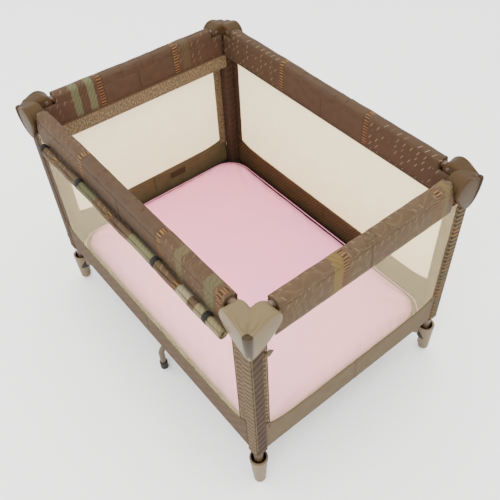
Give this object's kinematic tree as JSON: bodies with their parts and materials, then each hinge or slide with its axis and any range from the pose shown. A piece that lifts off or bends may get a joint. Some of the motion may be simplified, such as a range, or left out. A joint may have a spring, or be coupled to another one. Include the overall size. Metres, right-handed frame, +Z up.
{
  "type": "travel play yard",
  "caption": "Folding travel play yard with moulded corner caps, padded top rails, mesh sides, a fabric floor with a pad, a hub-and-tube base, and tapered feet.",
  "frame": {"origin": "on the floor under the middle of the yard", "axes": "+Z up, X along the long sides, Y along the short sides"},
  "size_m": [1.022, 0.728, 0.737],
  "materials": {
    "steel_tube": "brown powder coat, satin",
    "cap_plastic": "tan moulded plastic, glossy",
    "cap_plastic_far": "brown moulded plastic, glossy",
    "foot_plastic": "tan moulded plastic",
    "hub_plastic": "dark brown moulded plastic",
    "latch_plastic": "dark brown moulded plastic",
    "button_plastic": "tan moulded plastic",
    "rubber": "black rubber",
    "rail_fabric": "patchwork print on brown woven cloth over padding",
    "rail_patch": "plain brown woven cloth over padding",
    "side_mesh": "cream mesh windows with brown cloth sleeves and hems",
    "floor_cloth": "brown woven cloth",
    "pad_sheet": "pale pink fitted sheet over a thin pad",
    "flap_cloth": "sage and khaki patchwork cloth, rolled up",
    "webbing": "black webbing"
  },
  "bodies": {
    "corner_near_right": {"post_near_right": "steel_tube", "foot_near_right": "foot_plastic", "cap_near_right": "cap_plastic", "side_fabric_near_right": "side_mesh", "rolled_flap_near_right": "flap_cloth"},
    "base_near_right": {"base_tube_near_right": "steel_tube"},
    "corner_near_left": {"post_near_left": "steel_tube", "foot_near_left": "foot_plastic", "cap_near_left": "cap_plastic_far", "side_fabric_near_left": "side_mesh", "rolled_flap_near_left": "flap_cloth"},
    "base_near_left": {"base_tube_near_left": "steel_tube"},
    "corner_far_right": {"post_far_right": "steel_tube", "foot_far_right": "foot_plastic", "cap_far_right": "cap_plastic_far", "side_fabric_far_right": "side_mesh"},
    "base_far_right": {"base_tube_far_right": "steel_tube"},
    "corner_far_left": {"post_far_left": "steel_tube", "foot_far_left": "foot_plastic", "cap_far_left": "cap_plastic_far", "side_fabric_far_left": "side_mesh"},
    "base_far_left": {"base_tube_far_left": "steel_tube"},
    "hub": {"hub": "hub_plastic", "lift_strap": "webbing", "floor_fabric": "floor_cloth"},
    "pad": {"pad": "pad_sheet"},
    "leg_near": {"support_leg_near": "steel_tube", "leg_tip_near": "rubber"},
    "leg_far": {"support_leg_far": "steel_tube", "leg_tip_far": "rubber"},
    "long_half_near_right": {"long_rail_near_right": "steel_tube", "long_rail_cover_near_right": "rail_fabric"},
    "short_half_near_right": {"short_rail_near_right": "steel_tube", "short_rail_cover_near_right": "rail_fabric"},
    "long_half_near_left": {"long_rail_near_left": "steel_tube", "long_rail_cover_near_left": "rail_fabric"},
    "short_half_near_left": {"short_rail_near_left": "steel_tube", "short_rail_cover_near_left": "rail_fabric"},
    "long_half_far_right": {"long_rail_far_right": "steel_tube", "long_rail_cover_far_right": "rail_fabric"},
    "short_half_far_right": {"short_rail_far_right": "steel_tube", "short_rail_cover_far_right": "rail_fabric"},
    "long_half_far_left": {"long_rail_far_left": "steel_tube", "long_rail_cover_far_left": "rail_fabric"},
    "short_half_far_left": {"short_rail_far_left": "steel_tube", "short_rail_cover_far_left": "rail_fabric"},
    "latch_near_long": {"latch_near_long": "latch_plastic", "latch_cover_near_long": "rail_patch"},
    "button_near_long": {"latch_button_near_long": "button_plastic"},
    "latch_far_long": {"latch_far_long": "latch_plastic", "latch_cover_far_long": "rail_patch"},
    "button_far_long": {"latch_button_far_long": "button_plastic"},
    "latch_right_short": {"latch_right_short": "latch_plastic", "latch_cover_right_short": "rail_patch"},
    "button_right_short": {"latch_button_right_short": "button_plastic"},
    "latch_left_short": {"latch_left_short": "latch_plastic", "latch_cover_left_short": "rail_patch"},
    "button_left_short": {"latch_button_left_short": "button_plastic"}
  },
  "joints": [
    {"name": "fold", "type": "hinge", "parent": "corner_near_right", "child": "base_near_right", "pos_m": [0.42727, -0.29504, 0.1], "axis": [0.5682, 0.8229, 0], "range_deg": [0, 84], "deforming": ["side_fabric_near_right", "side_fabric_near_left", "side_fabric_far_right", "side_fabric_far_left", "rolled_flap_near_right", "rolled_flap_near_left", "floor_fabric", "pad"]},
    {"name": "hub_level", "type": "hinge", "parent": "base_near_right", "child": "hub", "pos_m": [0.05925, -0.04091, 0.1], "axis": [0.5682, 0.8229, 0], "range_deg": [-84, 0]},
    {"name": "base_fold_near_left", "type": "hinge", "parent": "hub", "child": "base_near_left", "pos_m": [-0.05925, -0.04091, 0.1], "axis": [0.5682, -0.8229, 0], "range_deg": [0, 84]},
    {"name": "corner_level_near_left", "type": "hinge", "parent": "base_near_left", "child": "corner_near_left", "pos_m": [-0.42727, -0.29504, 0.1], "axis": [0.5682, -0.8229, 0], "range_deg": [-84, 0]},
    {"name": "base_fold_far_right", "type": "hinge", "parent": "hub", "child": "base_far_right", "pos_m": [0.05925, 0.04091, 0.1], "axis": [-0.5682, 0.8229, 0], "range_deg": [0, 84]},
    {"name": "corner_level_far_right", "type": "hinge", "parent": "base_far_right", "child": "corner_far_right", "pos_m": [0.42727, 0.29504, 0.1], "axis": [-0.5682, 0.8229, 0], "range_deg": [-84, 0]},
    {"name": "base_fold_far_left", "type": "hinge", "parent": "hub", "child": "base_far_left", "pos_m": [-0.05925, 0.04091, 0.1], "axis": [-0.5682, -0.8229, 0], "range_deg": [0, 84]},
    {"name": "corner_level_far_left", "type": "hinge", "parent": "base_far_left", "child": "corner_far_left", "pos_m": [-0.42727, 0.29504, 0.1], "axis": [-0.5682, -0.8229, 0], "range_deg": [-84, 0]},
    {"name": "long_fold_near_right", "type": "hinge", "parent": "corner_near_right", "child": "long_half_near_right", "pos_m": [0.43, -0.324, 0.7], "axis": [0, -1, 0], "range_deg": [0, 84]},
    {"name": "short_fold_near_right", "type": "hinge", "parent": "corner_near_right", "child": "short_half_near_right", "pos_m": [0.471, -0.283, 0.7], "axis": [-1, 0, 0], "range_deg": [0, 84]},
    {"name": "long_fold_near_left", "type": "hinge", "parent": "corner_near_left", "child": "long_half_near_left", "pos_m": [-0.43, -0.324, 0.7], "axis": [0, 1, 0], "range_deg": [0, 84]},
    {"name": "short_fold_near_left", "type": "hinge", "parent": "corner_near_left", "child": "short_half_near_left", "pos_m": [-0.471, -0.283, 0.7], "axis": [-1, 0, 0], "range_deg": [0, 84]},
    {"name": "long_fold_far_right", "type": "hinge", "parent": "corner_far_right", "child": "long_half_far_right", "pos_m": [0.43, 0.324, 0.7], "axis": [0, -1, 0], "range_deg": [0, 84]},
    {"name": "short_fold_far_right", "type": "hinge", "parent": "corner_far_right", "child": "short_half_far_right", "pos_m": [0.471, 0.283, 0.7], "axis": [1, 0, 0], "range_deg": [0, 84]},
    {"name": "long_fold_far_left", "type": "hinge", "parent": "corner_far_left", "child": "long_half_far_left", "pos_m": [-0.43, 0.324, 0.7], "axis": [0, 1, 0], "range_deg": [0, 84]},
    {"name": "short_fold_far_left", "type": "hinge", "parent": "corner_far_left", "child": "short_half_far_left", "pos_m": [-0.471, 0.283, 0.7], "axis": [1, 0, 0], "range_deg": [0, 84]},
    {"name": "latch_level_near_long", "type": "hinge", "parent": "long_half_near_right", "child": "latch_near_long", "pos_m": [0.06197, -0.324, 0.7], "axis": [0, -1, 0], "range_deg": [-84, 0]},
    {"name": "latch_level_far_long", "type": "hinge", "parent": "long_half_far_right", "child": "latch_far_long", "pos_m": [0.06197, 0.324, 0.7], "axis": [0, -1, 0], "range_deg": [-84, 0]},
    {"name": "latch_level_right_short", "type": "hinge", "parent": "short_half_near_right", "child": "latch_right_short", "pos_m": [0.471, -0.02887, 0.7], "axis": [-1, 0, 0], "range_deg": [-84, 0]},
    {"name": "latch_level_left_short", "type": "hinge", "parent": "short_half_near_left", "child": "latch_left_short", "pos_m": [-0.471, -0.02887, 0.7], "axis": [-1, 0, 0], "range_deg": [-84, 0]},
    {"name": "leg_fold_near", "type": "hinge", "parent": "hub", "child": "leg_near", "pos_m": [0.016, -0.062, 0.1], "axis": [1, 0, 0], "range_deg": [0, 88.2]},
    {"name": "leg_fold_far", "type": "hinge", "parent": "hub", "child": "leg_far", "pos_m": [-0.016, 0.062, 0.1], "axis": [-1, 0, 0], "range_deg": [0, 88.2]},
    {"name": "pad_lift", "type": "slide", "parent": "hub", "child": "pad", "axis": [0, 0, 1], "range_m": [0, 0.1865]},
    {"name": "press_near_long", "type": "slide", "parent": "latch_near_long", "child": "button_near_long", "axis": [0, 0, 1], "range_m": [0, 0.005], "stiffness_N_per_m": 200, "springref_m": -0.002},
    {"name": "press_far_long", "type": "slide", "parent": "latch_far_long", "child": "button_far_long", "axis": [0, 0, 1], "range_m": [0, 0.005], "stiffness_N_per_m": 200, "springref_m": -0.002},
    {"name": "press_right_short", "type": "slide", "parent": "latch_right_short", "child": "button_right_short", "axis": [0, 0, 1], "range_m": [0, 0.005], "stiffness_N_per_m": 200, "springref_m": -0.002},
    {"name": "press_left_short", "type": "slide", "parent": "latch_left_short", "child": "button_left_short", "axis": [0, 0, 1], "range_m": [0, 0.005], "stiffness_N_per_m": 200, "springref_m": -0.002}
  ],
  "couplings": [
    {"joint": "hub_level", "follows": "fold", "ratio": -1},
    {"joint": "base_fold_near_left", "follows": "fold", "ratio": 1},
    {"joint": "corner_level_near_left", "follows": "fold", "ratio": -1},
    {"joint": "base_fold_far_right", "follows": "fold", "ratio": 1},
    {"joint": "corner_level_far_right", "follows": "fold", "ratio": -1},
    {"joint": "base_fold_far_left", "follows": "fold", "ratio": 1},
    {"joint": "corner_level_far_left", "follows": "fold", "ratio": -1},
    {"joint": "long_fold_near_right", "follows": "fold", "ratio": 1},
    {"joint": "short_fold_near_right", "follows": "fold", "ratio": 1},
    {"joint": "long_fold_near_left", "follows": "fold", "ratio": 1},
    {"joint": "short_fold_near_left", "follows": "fold", "ratio": 1},
    {"joint": "long_fold_far_right", "follows": "fold", "ratio": 1},
    {"joint": "short_fold_far_right", "follows": "fold", "ratio": 1},
    {"joint": "long_fold_far_left", "follows": "fold", "ratio": 1},
    {"joint": "short_fold_far_left", "follows": "fold", "ratio": 1},
    {"joint": "latch_level_near_long", "follows": "fold", "ratio": -1},
    {"joint": "latch_level_far_long", "follows": "fold", "ratio": -1},
    {"joint": "latch_level_right_short", "follows": "fold", "ratio": -1},
    {"joint": "latch_level_left_short", "follows": "fold", "ratio": -1},
    {"joint": "leg_fold_near", "follows": "fold", "ratio": 1.05},
    {"joint": "leg_fold_far", "follows": "fold", "ratio": 1.05},
    {"joint": "pad_lift", "follows": "fold", "m_per_rad": 0.12687}
  ]
}
